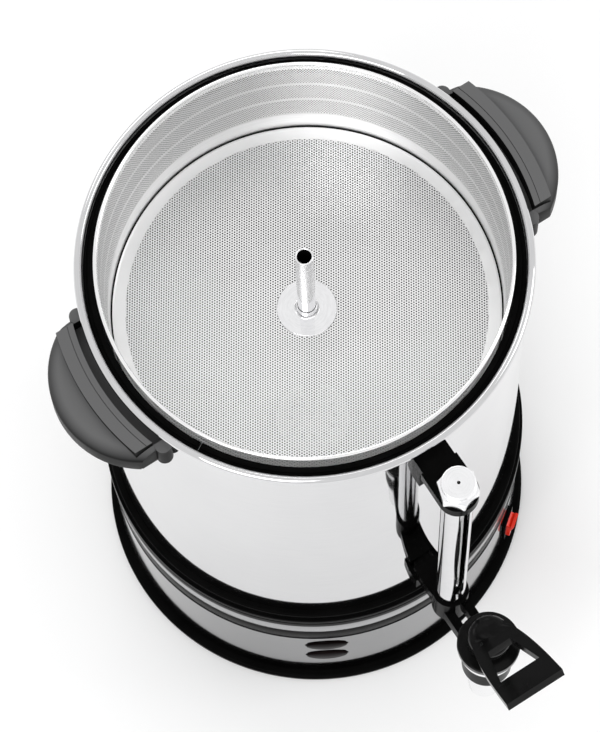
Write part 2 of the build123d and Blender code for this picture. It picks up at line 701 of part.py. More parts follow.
def switch_rocker():
    """Rocker tilted with its upper end out. Its ends are round about its trunnions, so it clears the bezel."""
    frame = on_wall(SWITCH_DEG, SKIRT_R + ROCKER_AXIS_OUT, SWITCH_Z)
    half = ROCKER_H / 2
    side = Plane(frame.origin, x_dir=frame.z_dir, z_dir=-frame.x_dir)
    drum = Circle(ROCKER_END_R) & (Pos(3.0, 0) * Rectangle(13.0, 30.0))
    lips = make_face(Polyline((7.9, 9.0), (7.9, half), (12.0, half), (12.0, 9.0), close=True))
    lips += make_face(Polyline((5.5, -10.0), (5.5, -half), (12.0, -half), (12.0, -10.0), close=True))
    front = make_face(Polyline((-6, 14), (10.3, half + 0.5), (8.0, 0), (7.8, -half - 0.5), (-6, -14), close=True))
    rocker = extrude(side * ((drum + lips) & front), ROCKER_W / 2, both=True)
    return rocker + rod_along(frame, TRUNNION_R, ROCKER_W + 2 * TRUNNION_LENGTH)


def lamp_lens(z):
    """Oval smoked lens standing a little proud of the skirt."""
    face = on_wall(LAMP_DEG, SKIRT_R - 6.0, z) * Ellipse(LAMP_HALF_W, LAMP_HALF_H)
    lens = extrude(face, 8.0)
    outer_rim = lens.edges().sort_by(lambda e: (e.center().X ** 2 + e.center().Y ** 2))[-1]
    return fillet(outer_rim, 1.4)


def lamp_holders():
    """Lamp holders behind the two lenses."""
    shapes = []
    for z in LAMP_Z:
        back = on_wall(LAMP_DEG, SKIRT_R - 6.0, z)
        shapes.append(extrude(back * Circle(6.0), -16))
    return Compound(children=shapes)


# ---------------------------------------------------------------- pump and basket
def riser_tube():
    """Tube that carries the boiling water up through the basket."""
    return pipe(TUBE_BORE_R, TUBE_R, VESSEL_FLOOR_Z + 3.0, TUBE_TOP_Z)


def tube_stop():
    """Collar on the tube that the basket rests on."""
    return pipe(TUBE_R, TUBE_R + 4.0, BASKET_FLOOR_Z - 6.0, BASKET_FLOOR_Z - GAP)


def pump_foot():
    """Dome at the foot of the tube, with a ring of inlet holes and an open underside."""
    low = VESSEL_FLOOR_Z + SHEET + GAP
    foot = turned(
        [
            (0, low + 9),
            (8, low + 9),
            (20, low + 4),
            (PUMP_FOOT_R, low + 4),
            (PUMP_FOOT_R, low),
            (PUMP_FOOT_R - 1, low),
            (PUMP_FOOT_R - 1, low + 3),
            (19.8, low + 3),
            (8, low + 8),
            (0, low + 8),
        ]
    )
    foot -= post(TUBE_R, low, low + 12)
    for i in range(12):
        a = radians(30 * i)
        foot -= post(1.6, low, low + 12, 14.5 * cos(a), 14.5 * sin(a))
    return foot


def foot_valve_washer():
    """Washer under the dome that lets water in and not out."""
    low = VESSEL_FLOOR_Z + SHEET + GAP
    return pipe(TUBE_R, 9.0, low + 2.0, low + 3.2)


def basket_wall():
    """Basket side with its rolled top edge."""
    bead_r = 1.2
    bead_z = BASKET_TOP_Z - bead_r
    wall = turned(
        [
            (BASKET_WALL_FOOT_R, BASKET_FLOOR_Z),
            (BASKET_WALL_FOOT_R + BASKET_SHEET, BASKET_FLOOR_Z),
            (BASKET_WALL_TOP_R + BASKET_SHEET, bead_z),
            (BASKET_WALL_TOP_R, bead_z),
        ]
    )
    ring = Pos(BASKET_BEAD_R - bead_r, 0, bead_z) * (Plane.XZ * Circle(bead_r))
    return wall + revolve(ring, Axis.Z)


def basket_floor():
    """Basket floor with an upturned edge inside the wall."""
    return pipe(BOSS_COLLAR_R, BASKET_WALL_FOOT_R, BASKET_FLOOR_Z, BASKET_FLOOR_Z + BASKET_SHEET)


def basket_boss():
    """Polished disc and collar that guide the riser tube."""
    top = BASKET_FLOOR_Z + BASKET_SHEET
    boss = pipe(BOSS_BORE_R, BOSS_R, top, top + 0.8)
    return boss + pipe(BOSS_BORE_R, BOSS_COLLAR_R, BASKET_FLOOR_Z, top + 7.0)


parts = {
    "outer_shell": outer_shell(),
    "inner_vessel": inner_vessel(),
    "rim_gasket": rim_gasket(),
    "base_collar": base_collar(),
    "trim_band": pipe(TRIM_R - 1.0, TRIM_R, TRIM_FOOT_Z, TRIM_TOP_Z),
    "base_housing": base_housing(),
    "base_skirt": base_skirt(),
    "foot_ring": foot_ring(),
    "base_plate": base_plate(),
    "base_plate_screws": base_plate_screws(),
    "heater_block": heater_block(),
    "heating_element": heating_element(),
    "thermostat": thermostat(),
    "thermal_cutout": thermal_cutout(),
    "terminal_block": terminal_block(),
    "cord_gland": cord_gland(),
    "right_handle_bracket": handle_bracket(),
    "right_handle_grip": handle_grip(),
    "left_handle_bracket": Rot(0, 0, 180) * handle_bracket(),
    "left_handle_grip": Rot(0, 0, 180) * handle_grip(),
    "handle_screws": handle_screws(),
    "gauge_bracket": gauge_bracket(),
    "gauge_bracket_screw": gauge_bracket_screw(),
    "gauge_cap": gauge_cap(),
    "gauge_guard_tube": gauge_guard_tube(),
    "gauge_glass": gauge_glass(),
    "gauge_seals": gauge_seals(),
    "tap_body": tap_body(),
    "tap_gasket": tap_gasket(),
    "tap_back_nut": tap_back_nut(),
    "tap_bonnet": tap_bonnet(),
    "bonnet_ring": bonnet_ring(),
    "tap_spout": tap_spout(),
    "tap_lever": tap_lever(),
    "lever_pin": lever_pin(),
    "valve_stem": valve_stem(),
    "seat_cup": seat_cup(),
    "valve_spring": valve_spring(),
    "switch_housing": switch_housing(),
    "switch_rocker": switch_rocker(),
    "upper_lamp_lens": lamp_lens(LAMP_Z[0]),
    "lower_lamp_lens": lamp_lens(LAMP_Z[1]),
    "lamp_holders": lamp_holders(),
    "riser_tube": riser_tube(),
    "tube_stop": tube_stop(),
    "pump_foot": pump_foot(),
    "foot_valve_washer": foot_valve_washer(),
    "basket_wall": basket_wall(),
    "basket_floor": basket_floor(),
    "basket_boss": basket_boss(),
}
for node, shape in parts.items():
    save(node, shape)
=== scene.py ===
import json
import math

import bmesh
import bpy
import numpy as np
from mathutils import Matrix, Vector

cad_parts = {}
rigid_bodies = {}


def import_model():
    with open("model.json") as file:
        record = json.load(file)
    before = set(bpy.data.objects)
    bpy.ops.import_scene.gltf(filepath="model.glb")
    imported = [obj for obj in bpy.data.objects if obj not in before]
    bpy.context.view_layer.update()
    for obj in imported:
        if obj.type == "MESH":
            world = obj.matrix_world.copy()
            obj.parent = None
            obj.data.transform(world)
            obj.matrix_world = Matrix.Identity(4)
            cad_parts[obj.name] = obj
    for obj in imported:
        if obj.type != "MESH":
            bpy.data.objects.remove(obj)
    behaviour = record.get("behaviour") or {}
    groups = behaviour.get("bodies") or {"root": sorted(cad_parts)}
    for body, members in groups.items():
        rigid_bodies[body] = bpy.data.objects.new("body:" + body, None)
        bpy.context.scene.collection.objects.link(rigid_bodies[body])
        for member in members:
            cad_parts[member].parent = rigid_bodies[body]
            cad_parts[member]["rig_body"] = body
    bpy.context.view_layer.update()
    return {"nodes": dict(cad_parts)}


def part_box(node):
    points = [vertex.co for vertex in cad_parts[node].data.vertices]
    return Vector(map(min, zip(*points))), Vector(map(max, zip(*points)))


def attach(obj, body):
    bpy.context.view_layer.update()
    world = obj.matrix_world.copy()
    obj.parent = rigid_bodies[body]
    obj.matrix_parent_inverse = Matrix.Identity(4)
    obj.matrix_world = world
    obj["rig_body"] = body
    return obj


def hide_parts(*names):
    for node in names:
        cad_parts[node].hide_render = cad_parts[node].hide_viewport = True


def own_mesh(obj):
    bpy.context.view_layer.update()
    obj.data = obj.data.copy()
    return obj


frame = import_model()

MM = 0.001

# ------------------------------------------------------------------ materials


class Look:
    """One Principled material with its node tree."""

    def __init__(self, name, colour, rough, metal=0.0, **sockets):
        self.mat = bpy.data.materials.new(name)
        self.mat.use_nodes = True
        self.nodes = self.mat.node_tree.nodes
        self.links = self.mat.node_tree.links
        self.bsdf = self.nodes["Principled BSDF"]
        self.bsdf.inputs["Base Color"].default_value = (*colour, 1)
        self.bsdf.inputs["Roughness"].default_value = rough
        self.bsdf.inputs["Metallic"].default_value = metal
        for key, value in sockets.items():
            self.bsdf.inputs[key.replace("_", " ")].default_value = value
        coords = self.nodes.new("ShaderNodeTexCoord")
        self.place = coords.outputs["Object"]
        self.height = None

    def stretched(self, sx, sy, sz):
        """Object coordinates multiplied along each axis."""
        mapping = self.nodes.new("ShaderNodeMapping")
        mapping.inputs["Scale"].default_value = (sx, sy, sz)
        self.links.new(self.place, mapping.inputs["Vector"])
        return mapping.outputs["Vector"]

    def polar(self, x, y, per_radius, per_turn, per_height):
        """Coordinates (radius, angle, height) about an upright axis at x, y."""
        split = self.nodes.new("ShaderNodeSeparateXYZ")
        shift = self.nodes.new("ShaderNodeVectorMath")
        shift.operation = "SUBTRACT"
        shift.inputs[1].default_value = (x, y, 0)
        self.links.new(self.place, shift.inputs[0])
        self.links.new(shift.outputs[0], split.inputs[0])
        angle = self.math("ARCTAN2", split.outputs["Y"], split.outputs["X"])
        x_squared = self.math("POWER", split.outputs["X"], 2.0)
        y_squared = self.math("POWER", split.outputs["Y"], 2.0)
        radius = self.math("SQRT", self.math("ADD", x_squared, y_squared))
        join = self.nodes.new("ShaderNodeCombineXYZ")
        self.links.new(self.math("MULTIPLY", radius, per_radius), join.inputs[0])
        self.links.new(self.math("MULTIPLY", angle, per_turn), join.inputs[1])
        self.links.new(self.math("MULTIPLY", split.outputs["Z"], per_height), join.inputs[2])
        return join.outputs[0]

    def math(self, operation, a, b=None):
        """Output of a math node whose inputs are numbers or sockets."""
        node = self.nodes.new("ShaderNodeMath")
        node.operation = operation
        for socket, value in zip(node.inputs, (a, b)):
            if value is None:
                continue
            if isinstance(value, (int, float)):
                socket.default_value = value
            else:
                self.links.new(value, socket)
        return node.outputs[0]

    def noise(self, vector, scale, detail=3.0, rough=0.5):
        node = self.nodes.new("ShaderNodeTexNoise")
        node.inputs["Scale"].default_value = scale
        node.inputs["Detail"].default_value = detail
        node.inputs["Roughness"].default_value = rough
        self.links.new(vector, node.inputs["Vector"])
        return node.outputs["Fac"]

    def ranged(self, value, low, high, start=0.3, end=0.7):
        """The value's stretch from start to end, mapped to low and high."""
        node = self.nodes.new("ShaderNodeMapRange")
        node.inputs["From Min"].default_value = start
        node.inputs["From Max"].default_value = end
        node.inputs["To Min"].default_value = low
        node.inputs["To Max"].default_value = high
        self.links.new(value, node.inputs["Value"])
        return node.outputs[0]

    def rough_from(self, value, low, high, start=0.3, end=0.7):
        self.links.new(self.ranged(value, low, high, start, end), self.bsdf.inputs["Roughness"])

    def colour_from(self, value, first, second, start=0.3, end=0.7):
        ramp = self.nodes.new("ShaderNodeValToRGB")
        ramp.color_ramp.elements[0].position = start
        ramp.color_ramp.elements[0].color = (*first, 1)
        ramp.color_ramp.elements[1].position = end
        ramp.color_ramp.elements[1].color = (*second, 1)
        self.links.new(value, ramp.inputs[0])
        self.links.new(ramp.outputs[0], self.bsdf.inputs["Base Color"])

    def bump(self, value, strength, distance):
        """Adds a bump on top of those already there."""
        node = self.nodes.new("ShaderNodeBump")
        node.inputs["Strength"].default_value = strength
        node.inputs["Distance"].default_value = distance
        self.links.new(value, node.inputs["Height"])
        if self.height is not None:
            self.links.new(self.height, node.inputs["Normal"])
        self.height = node.outputs["Normal"]
        self.links.new(self.height, self.bsdf.inputs["Normal"])


def sheet_steel(name, light, dark, rough_low, rough_high, x=0.0, y=0.0, line_rate=2600.0, line_depth=0.00001):
    """Rolled stainless sheet: hair lines round the body and broad cloudy variation."""
    look = Look(name, light, rough_low, 1.0)
    lines = look.noise(look.polar(x, y, 400.0, 6.0, line_rate), 1.0, 2.0, 0.6)
    clouds = look.noise(look.stretched(1, 1, 0.6), 14.0, 3.0)
    both = look.math("ADD", look.math("MULTIPLY", lines, 0.6), look.math("MULTIPLY", clouds, 0.4))
    look.colour_from(both, dark, light, 0.35, 0.62)
    look.rough_from(both, rough_low, rough_high, 0.35, 0.62)
    look.bump(lines, 0.12, line_depth)
    return look.mat


def plain_sheet(name, light, dark, rough_low, rough_high):
    """Flat sheet with no direction to its finish: only soft clouds and a very fine grain."""
    look = Look(name, light, rough_low, 1.0)
    clouds = look.noise(look.stretched(1, 1, 1), 18.0, 3.0)
    grain = look.noise(look.stretched(1, 1, 1), 3000.0, 2.0)
    look.colour_from(clouds, dark, light)
    look.rough_from(clouds, rough_low, rough_high)
    look.bump(grain, 0.08, 0.000006)
    return look.mat


def moulded(name, dark, light, rough_low, rough_high, grain=0.00003, grain_scale=2600.0, **sockets):
    """Moulded plastic: fine grain, slight cloudiness in colour and gloss."""
    look = Look(name, dark, rough_low, 0.0, **sockets)
    clouds = look.noise(look.stretched(1, 1, 1), 45.0, 4.0)
    fine = look.noise(look.stretched(1, 1, 1), grain_scale, 2.0)
    look.colour_from(clouds, dark, light)
    look.rough_from(clouds, rough_low, rough_high)
    look.bump(fine, 0.25, grain)
    return look.mat


def lit_top_plastic(name, side, top, rough_low, rough_high):
    """Satin black plastic with painted light: its upward faces are painted paler than its sides, as if lit from above.
    """
    look = Look(name, side, rough_low, 0.0, IOR=1.1)
    clouds = look.noise(look.stretched(1, 1, 1), 45.0, 4.0)
    fine = look.noise(look.stretched(1, 1, 1), 1800.0, 2.0)
    geometry = look.nodes.new("ShaderNodeNewGeometry")
    split = look.nodes.new("ShaderNodeSeparateXYZ")
    look.links.new(geometry.outputs["Normal"], split.inputs[0])
    # Painted light: the colour runs from the dark side colour to the paler top colour as a face turns upward.
    painted_top_light = look.math("ADD", split.outputs["Z"], look.math("MULTIPLY", clouds, 0.12))
    look.colour_from(painted_top_light, side, top, 0.3, 1.0)
    look.rough_from(clouds, rough_low, rough_high)
    look.bump(fine, 0.25, 0.00003)
    return look.mat


def plated(name, light, dark, x, y, rough_low=0.04, rough_high=0.10):
    """Bright plated metal with faint polishing lines round its axis."""
    look = Look(name, light, rough_low, 1.0)
    lines = look.noise(look.polar(x, y, 900.0, 3.0, 900.0), 1.0, 2.0)
    look.colour_from(lines, dark, light)
    look.rough_from(lines, rough_low, rough_high)
    look.bump(lines, 0.05, 0.000006)
    return look.mat


def machined(name, x, y):
    """Lathe-turned face: concentric tool marks that spread the light radially."""
    look = Look(name, (0.86, 0.86, 0.87), 0.2, 1.0, Anisotropic=0.75)
    rings = look.noise(look.polar(x, y, 5200.0, 0.6, 1200.0), 1.0, 1.0)
    look.colour_from(rings, (0.9, 0.9, 0.91), (0.97, 0.97, 0.98))
    look.rough_from(rings, 0.16, 0.26)
    look.bump(rings, 0.1, 0.000008)
    tangent = look.nodes.new("ShaderNodeTangent")
    tangent.direction_type = "RADIAL"
    tangent.axis = "Z"
    look.links.new(tangent.outputs[0], look.bsdf.inputs["Tangent"])
    return look.mat


def middle_y(node):
    low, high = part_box(node)
    return low.y / 2 + high.y / 2


def grey(value):
    return (value, value, value)


GAUGE_Y = middle_y("gauge_glass")
VALVE_Y = middle_y("valve_stem")

shell_steel = sheet_steel("steel_shell", (0.70, 0.70, 0.705), (0.64, 0.64, 0.65), 0.025, 0.06)
rim_steel = sheet_steel("steel_rim", grey(0.97), grey(0.92), 0.08, 0.14)
# Painted shade: the inner vessel's steel is painted far darker than the shell, for the dim inside of the urn.
shaded_vessel_steel = sheet_steel("steel_vessel_painted_shade", grey(0.24), grey(0.17), 0.24, 0.4)
# Painted shade: the pump foot's steel is painted darker for the shade under the basket floor.
shaded_foot_steel = sheet_steel("steel_foot_painted_shade", grey(0.46), grey(0.38), 0.24, 0.4)
# Painted shade and reflection: the skirt's steel is painted dark, standing in for the shadowed floor it mirrors.
shaded_skirt_steel = sheet_steel("steel_skirt_painted_shade", (0.19, 0.19, 0.195), (0.16, 0.16, 0.165), 0.05, 0.1)
trim_steel = sheet_steel("steel_trim", (0.32, 0.32, 0.33), (0.27, 0.27, 0.28), 0.1, 0.18)
basket_steel = sheet_steel("steel_basket", grey(0.84), grey(0.72), 0.28, 0.4)
floor_steel = plain_sheet("steel_floor", grey(0.98), grey(0.93), 0.32, 0.42)
mirror_steel = plated("steel_mirror", (0.92, 0.92, 0.93), (0.86, 0.86, 0.87), 0, 0, 0.02, 0.05)
gauge_chrome = plated("chrome_gauge", (0.74, 0.74, 0.75), (0.68, 0.68, 0.69), 0, GAUGE_Y)
spout_chrome = plated("chrome_spout", (0.9, 0.9, 0.91), (0.84, 0.84, 0.85), 0, VALVE_Y)
cap_metal = machined("turned_cap", 0, GAUGE_Y)
zinc = plated("zinc_plate", (0.7, 0.7, 0.69), grey(0.55), 0, 0, 0.25, 0.4)
black_plastic = moulded("plastic_black", grey(0.002), grey(0.004), 0.16, 0.24, 0.00001, IOR=1.05)
# Painted light: the handle's upward faces get the paler top colour.
handle_plastic = lit_top_plastic("plastic_handle", grey(0.004), (0.115, 0.115, 0.116), 0.3, 0.4)
gloss_black = moulded("plastic_gloss", grey(0.003), grey(0.006), 0.1, 0.18, 0.000006, IOR=1.2)
rubber = moulded("rubber_black", grey(0.002), grey(0.004), 0.4, 0.55, 0.00003, 1500.0, IOR=1.06)
silicone = moulded("silicone_pale", (0.62, 0.62, 0.58), (0.72, 0.72, 0.68), 0.4, 0.55)
pale_plastic = moulded("plastic_pale", (0.7, 0.69, 0.62), (0.78, 0.77, 0.7), 0.4, 0.55)
red_plastic = moulded("plastic_red", (0.84, 0.02, 0.008), (0.95, 0.04, 0.015), 0.18, 0.3, 0.00001)
lens_plastic = moulded("plastic_smoked", (0.002, 0.001, 0.001), (0.005, 0.003, 0.003), 0.04, 0.08, 0.000003, IOR=1.06)
aluminium = plated("aluminium_block", (0.75, 0.75, 0.76), (0.66, 0.66, 0.67), 0, 0, 0.25, 0.4)


def make_glass():
    look = Look("glass_clear", (0.95, 0.98, 0.97), 0.02, 0.0, Transmission_Weight=1.0, IOR=1.5)
    faint = look.noise(look.stretched(1, 1, 0.2), 90.0, 2.0)
    look.rough_from(faint, 0.01, 0.05)
    return look.mat


glass = make_glass()

# ------------------------------------------------------------------ mesh helpers

# Lengths in metres below which points are one, and an edge is nothing.
DOUBLED = 1e-7
EMPTY = 1e-9
CAD_DOUBLED = 2e-6
# Angles in degrees: faces taken as one plane, edges that a bevel rounds, and edges drawn sharp.
FLAT_WITHIN = 1.0
BEVEL_ABOVE = 32
SHARP_ABOVE = 35.0
REFINED_SHARP_ABOVE = 40.0

def piece(name, verts, faces, material, body, replaces=(), sharp=SHARP_ABOVE):
    """Mesh object in metres from points in millimetres, riding on a body."""
    mesh = bpy.data.meshes.new(name)
    mesh.from_pydata([(x * MM, y * MM, z * MM) for x, y, z in verts], [], faces)
    mesh.validate()
    return placed(name, mesh, material, body, replaces, sharp)


def placed(name, mesh, material, body, replaces=(), sharp=SHARP_ABOVE):
    """Object that rides on a body, with its own material; the CAD nodes it replaces are hidden."""
    obj = bpy.data.objects.new(name, mesh)
    bpy.context.scene.collection.objects.link(obj)
    mesh.materials.clear()
    mesh.materials.append(material)
    mesh.shade_smooth()
    mesh.set_sharp_from_angle(angle=math.radians(sharp))
    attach(obj, body)
    if replaces:
        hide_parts(*replaces)
    return obj


def soft(points, steps=5):
    """Closed outline in which a point (a, b, radius) becomes an arc."""
    out = []
    n = len(points)
    for i, point in enumerate(points):
        here = np.array(point[:2], float)
        radius = point[2] if len(point) > 2 else 0.0
        before = np.array(points[i - 1][:2], float) - here
        after = np.array(points[(i + 1) % n][:2], float) - here
        if radius <= 0:
            out.append(tuple(here))
            continue
        before_len, after_len = np.linalg.norm(before), np.linalg.norm(after)
        u, v = before / before_len, after / after_len
        half = math.acos(max(-1.0, min(1.0, float(u @ v)))) / 2
        reach = min(radius / math.tan(half), before_len * 0.49, after_len * 0.49)
        radius = reach * math.tan(half)
        bisector = (u + v) / np.linalg.norm(u + v)
        centre = here + bisector * radius / math.sin(half)
        a0 = here + u * reach - centre
        a1 = here + v * reach - centre
        t0 = math.atan2(a0[1], a0[0])
        t1 = math.atan2(a1[1], a1[0])
        turn = (t1 - t0 + math.pi) % (2 * math.pi) - math.pi
        for k in range(steps + 1):
            t = t0 + turn * k / steps
            out.append((centre[0] + radius * math.cos(t), centre[1] + radius * math.sin(t)))
    return out


def lathe(name, outline, material, body, replaces=(), x=0.0, y=0.0, steps=240, sharp=SHARP_ABOVE, arc=None):
    """Closed (radius, height) outline turned about an upright axis, whole or through an arc of degrees."""
    start, end = arc or (0.0, 360.0)
    whole = arc is None
    count = steps if whole else max(2, int(steps * (end - start) / 360))
    rows = count if whole else count + 1
    verts, faces = [], []
    for i in range(rows):
        a = math.radians(start + (end - start) * i / count)
        verts += [(x + r * math.cos(a), y + r * math.sin(a), z) for r, z in outline]
    n = len(outline)
    for i in range(count):
        j = (i + 1) % rows
        for k in range(n):
            m = (k + 1) % n
            faces.append((i * n + k, j * n + k, j * n + m, i * n + m))
    if not whole:
        faces.append(tuple(range(n))[::-1])
        faces.append(tuple((rows - 1) * n + k for k in range(n)))
    obj = piece(name, verts, faces, material, body, replaces, sharp)
    tidy_mesh(obj.data)
    obj.data.set_sharp_from_angle(angle=math.radians(sharp))
    return obj


def tidy_mesh(mesh):
    """Merges doubled points, drops empty faces and turns every face outward."""
    bm = bmesh.new()
    bm.from_mesh(mesh)
    bmesh.ops.remove_doubles(bm, verts=bm.verts, dist=DOUBLED)
    bmesh.ops.dissolve_degenerate(bm, edges=bm.edges, dist=EMPTY)
    bmesh.ops.recalc_face_normals(bm, faces=bm.faces)
    for face in bm.faces:
        face.smooth = True
    bm.to_mesh(mesh)
    bm.free()


def refined(node, material, width=0.4, segments=3):
    """The CAD node's shape with clean faces and a small rounded edge, so that its edges catch the light."""
    source = frame["nodes"][node]
    mesh = source.data.copy()
    mesh.name = node + "_soft"
    bm = bmesh.new()
    bm.from_mesh(mesh)
    bmesh.ops.remove_doubles(bm, verts=bm.verts, dist=CAD_DOUBLED)
    bmesh.ops.dissolve_limit(bm, angle_limit=math.radians(FLAT_WITHIN), verts=bm.verts, edges=bm.edges)
    bmesh.ops.recalc_face_normals(bm, faces=bm.faces)
    bm.to_mesh(mesh)
    bm.free()
    obj = placed(node + "_soft", mesh, material, source["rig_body"], (node,), REFINED_SHARP_ABOVE)
    bevel = obj.modifiers.new("edge", "BEVEL")
    bevel.width = width * MM
    bevel.segments = segments
    bevel.limit_method = "ANGLE"
    bevel.angle_limit = math.radians(BEVEL_ABOVE)
    bevel.harden_normals = True
    return obj


def paint(node, material):
    """Better material on a CAD node that keeps its own mesh."""
    for slot in frame["nodes"][node].material_slots:
        slot.material = material


# ------------------------------------------------------------------ camera, stage and light

CAMERA_AZIMUTH = math.radians(-29.5)
CAMERA_ELEVATION = math.radians(71.76)
CAMERA_ROLL = math.radians(-3.53)
CAMERA_DISTANCE = 2.15865
CAMERA_SIDE = -0.006345
CAMERA_RISE = -0.06075
LENS = 222.36
RIM_CENTRE = Vector((0, 0, 0.450))

view_dir = Vector((0, math.cos(CAMERA_ELEVATION), -math.sin(CAMERA_ELEVATION)))
side = Vector((1, 0, 0))
rise = side.cross(view_dir)
spot = RIM_CENTRE - view_dir * CAMERA_DISTANCE + side * CAMERA_SIDE + rise * CAMERA_RISE
image_x = side * math.cos(CAMERA_ROLL) + rise * math.sin(CAMERA_ROLL)
image_y = rise * math.cos(CAMERA_ROLL) - side * math.sin(CAMERA_ROLL)
turn = Matrix.Rotation(CAMERA_AZIMUTH, 3, "Z")
spot = turn @ (spot - RIM_CENTRE) + RIM_CENTRE
axes = Matrix((turn @ image_x, turn @ image_y, turn @ -view_dir)).transposed()
camera_data = bpy.data.cameras.new("camera")
camera_data.lens = LENS
camera_data.sensor_width = 36.0
camera_data.sensor_fit = "HORIZONTAL"
camera_data.clip_end = 50
camera = bpy.data.objects.new("camera", camera_data)
camera.matrix_world = Matrix.Translation(spot) @ axes.to_4x4()
bpy.context.scene.collection.objects.link(camera)
bpy.context.scene.camera = camera


FLOOR_HALF = 6.0
WORLD_STRENGTH = 0.92
LIGHT_AIM = (0, 0, 0.3)


def make_floor():
    mesh = bpy.data.meshes.new("floor")
    corners = [(x * FLOOR_HALF, y * FLOOR_HALF, 0) for x, y in ((-1, -1), (1, -1), (1, 1), (-1, 1))]
    mesh.from_pydata(corners, [], [(0, 1, 2, 3)])
    obj = bpy.data.objects.new("floor", mesh)
    bpy.context.scene.collection.objects.link(obj)
    look = Look("floor_paper", (0.93, 0.93, 0.93), 0.9)
    look.bsdf.inputs["Specular IOR Level"].default_value = 0.1
    mottle = look.noise(look.stretched(1, 1, 1), 3.0, 2.0)
    look.colour_from(mottle, (0.92, 0.92, 0.92), (0.95, 0.95, 0.95))
    mesh.materials.append(look.mat)


make_floor()


def softbox(name, place, size_x, size_y, power):
    """Rectangular area light that points at the middle of the body."""
    data = bpy.data.lights.new(name, "AREA")
    data.shape = "RECTANGLE"
    data.size = size_x
    data.size_y = size_y
    data.energy = power
    obj = bpy.data.objects.new(name, data)
    obj.location = place
    obj.rotation_euler = (Vector(LIGHT_AIM) - Vector(place)).to_track_quat("-Z", "Y").to_euler()
    bpy.context.scene.collection.objects.link(obj)


softbox("key", (-1.6, -1.2, 2.6), 1.4, 1.4, 26)
softbox("fill", (1.9, -0.9, 2.0), 1.0, 1.6, 10)
softbox("back", (0.4, 2.2, 2.2), 2.2, 0.8, 14)

world = bpy.data.worlds.new("studio")
bpy.context.scene.world = world
world.use_nodes = True
world.node_tree.nodes["Background"].inputs[0].default_value = (1, 1, 1, 1)
world.node_tree.nodes["Background"].inputs[1].default_value = WORLD_STRENGTH
bpy.context.scene.view_settings.view_transform = "Standard"

# ------------------------------------------------------------------ body
# Outlines are (radius, height) in millimetres, with a third number where a corner is rounded.

GASKET_JOINT = -151.6
GASKET_JOINT_HALF = 0.35


def circle_points(cx, cz, radius, start, end, steps):
    """Points on an arc in the (radius, height) plane, degrees from the outward direction."""
    angles = [math.radians(start + (end - start) * i / steps) for i in range(steps + 1)]
    return [(cx + radius * math.cos(a), cz + radius * math.sin(a)) for a in angles]


def make_shell():
    """Thin outer wall with its rolled rim."""
    bead = circle_points(132.4, 447.4, 2.6, -98, 240, 30)
    outline = [(131.2, 134), (132, 134)] + bead + [(131.2, 444.6)]
    lathe("outer_shell_sheet", outline, shell_steel, "urn", ["outer_shell"], sharp=50)


def make_vessel():
    """Inner vessel with its floor and its flat lip."""
    outline = soft(
        [
            (0.01, 142), (128.2, 142, 5), (128.2, 437.2), (131.2, 437.2), (131.2, 438), (127.4, 438, 0.6),
            (127.4, 142.8, 4.4), (0.01, 142.8),
        ]
    )
    lathe("inner_vessel_sheet", outline, shaded_vessel_steel, "urn", ["inner_vessel"])


def make_gasket():
    """Rubber ring with its fine groove, open at its butt joint."""
    outline = soft(
        [
            (123.4, 438), (129.7, 438), (129.7, 445, 0.8), (127.9, 445, 0.25), (127.7, 444.3), (127.2, 444.3),
            (127.0, 445, 0.25), (123.4, 445, 0.9),
        ],
        4,
    )
    arc = (GASKET_JOINT + GASKET_JOINT_HALF, GASKET_JOINT + 360 - GASKET_JOINT_HALF)
    lathe("rim_gasket_ring", outline, rubber, "urn", ["rim_gasket"], steps=300, arc=arc)


def make_base():
    """Stepped collar, trim band, black drum and foot ring."""
    collar = soft(
        [
            (132, 150, 0.2), (136.4, 150, 1.6), (136.4, 143.8, 0.3), (138.4, 143.8, 0.9), (138.4, 138.6, 0.3),
            (137.9, 138.2, 0.2), (137.9, 137.4, 0.2), (138.4, 137.0, 0.4), (138.4, 130, 0.5),
            (120, 130), (120, 142), (129.2, 142), (129.2, 134), (132, 134),
        ],
        5,
    )
    lathe("base_collar_ring", collar, black_plastic, "urn", ["base_collar"], steps=300)
    trim = soft([(136.6, 114), (137.6, 114, 0.4), (137.6, 130, 0.4), (136.6, 130)], 4)
    lathe("trim_band_ring", trim, trim_steel, "urn", ["trim_band"], steps=300)
    housing = soft(
        [
            (133, 93), (137, 93, 0.3), (137, 114, 0.3), (136.6, 114), (136.6, 130), (125, 130), (125, 127), (133, 127),
        ],
        3,
    )
    lathe("base_housing_drum", housing, black_plastic, "urn", ["base_housing"], steps=300)
    foot = soft(
        [
            (128, 0), (142.9, 0, 1.4), (142.9, 6, 2.2), (136.5, 6), (136.5, 12), (133, 12), (133, 4.2), (128, 4.2),
        ],
        6,
    )
    lathe("foot_ring_flange", foot, black_plastic, "urn", ["foot_ring"], steps=300)


make_shell()
make_vessel()
make_gasket()
make_base()
refined("base_skirt", shaded_skirt_steel, 0.25)

# ------------------------------------------------------------------ basket and pump

FLOOR_Z = 366.6
HOLE_PITCH = 1.6946
HOLE_ACROSS = 1.06
LATTICE_TURN = math.radians(-122.9)
FIELD_R = 110.8
FIELD_EDGE = 0.6
BOSS_R = 18.5
BOSS_COVERS = 2.0
WALL_FOOT_Z = 385.0
WALL_TOP_Z = 451.0
WALL_COLUMNS = 444
WALL_ROWS = 42
WALL_PLAIN_ROWS = (13, 14, 27, 28)
WALL_BASE_Z = 366.0
WALL_HEIGHT = 90.0
WALL_BASE_R = 118.6
WALL_FLARE = 121.0 - 118.6
# Half width and height of a wall hole as shares of its cell, and its outline in those halves.
WALL_HOLE_WIDE = 0.27
WALL_HOLE_TALL = 0.32
WALL_HOLE = ((-0.8, -0.75), (0, -1.05), (0.8, -0.75), (0.8, 0.75), (0, 1.05), (-0.8, 0.75))
# Cells share a corner when it rounds to the same step: per mm on the floor, per radian and mm on the wall.
FLOOR_SHARE = 200
WALL_TURN_SHARE = 20000
WALL_Z_SHARE = 500


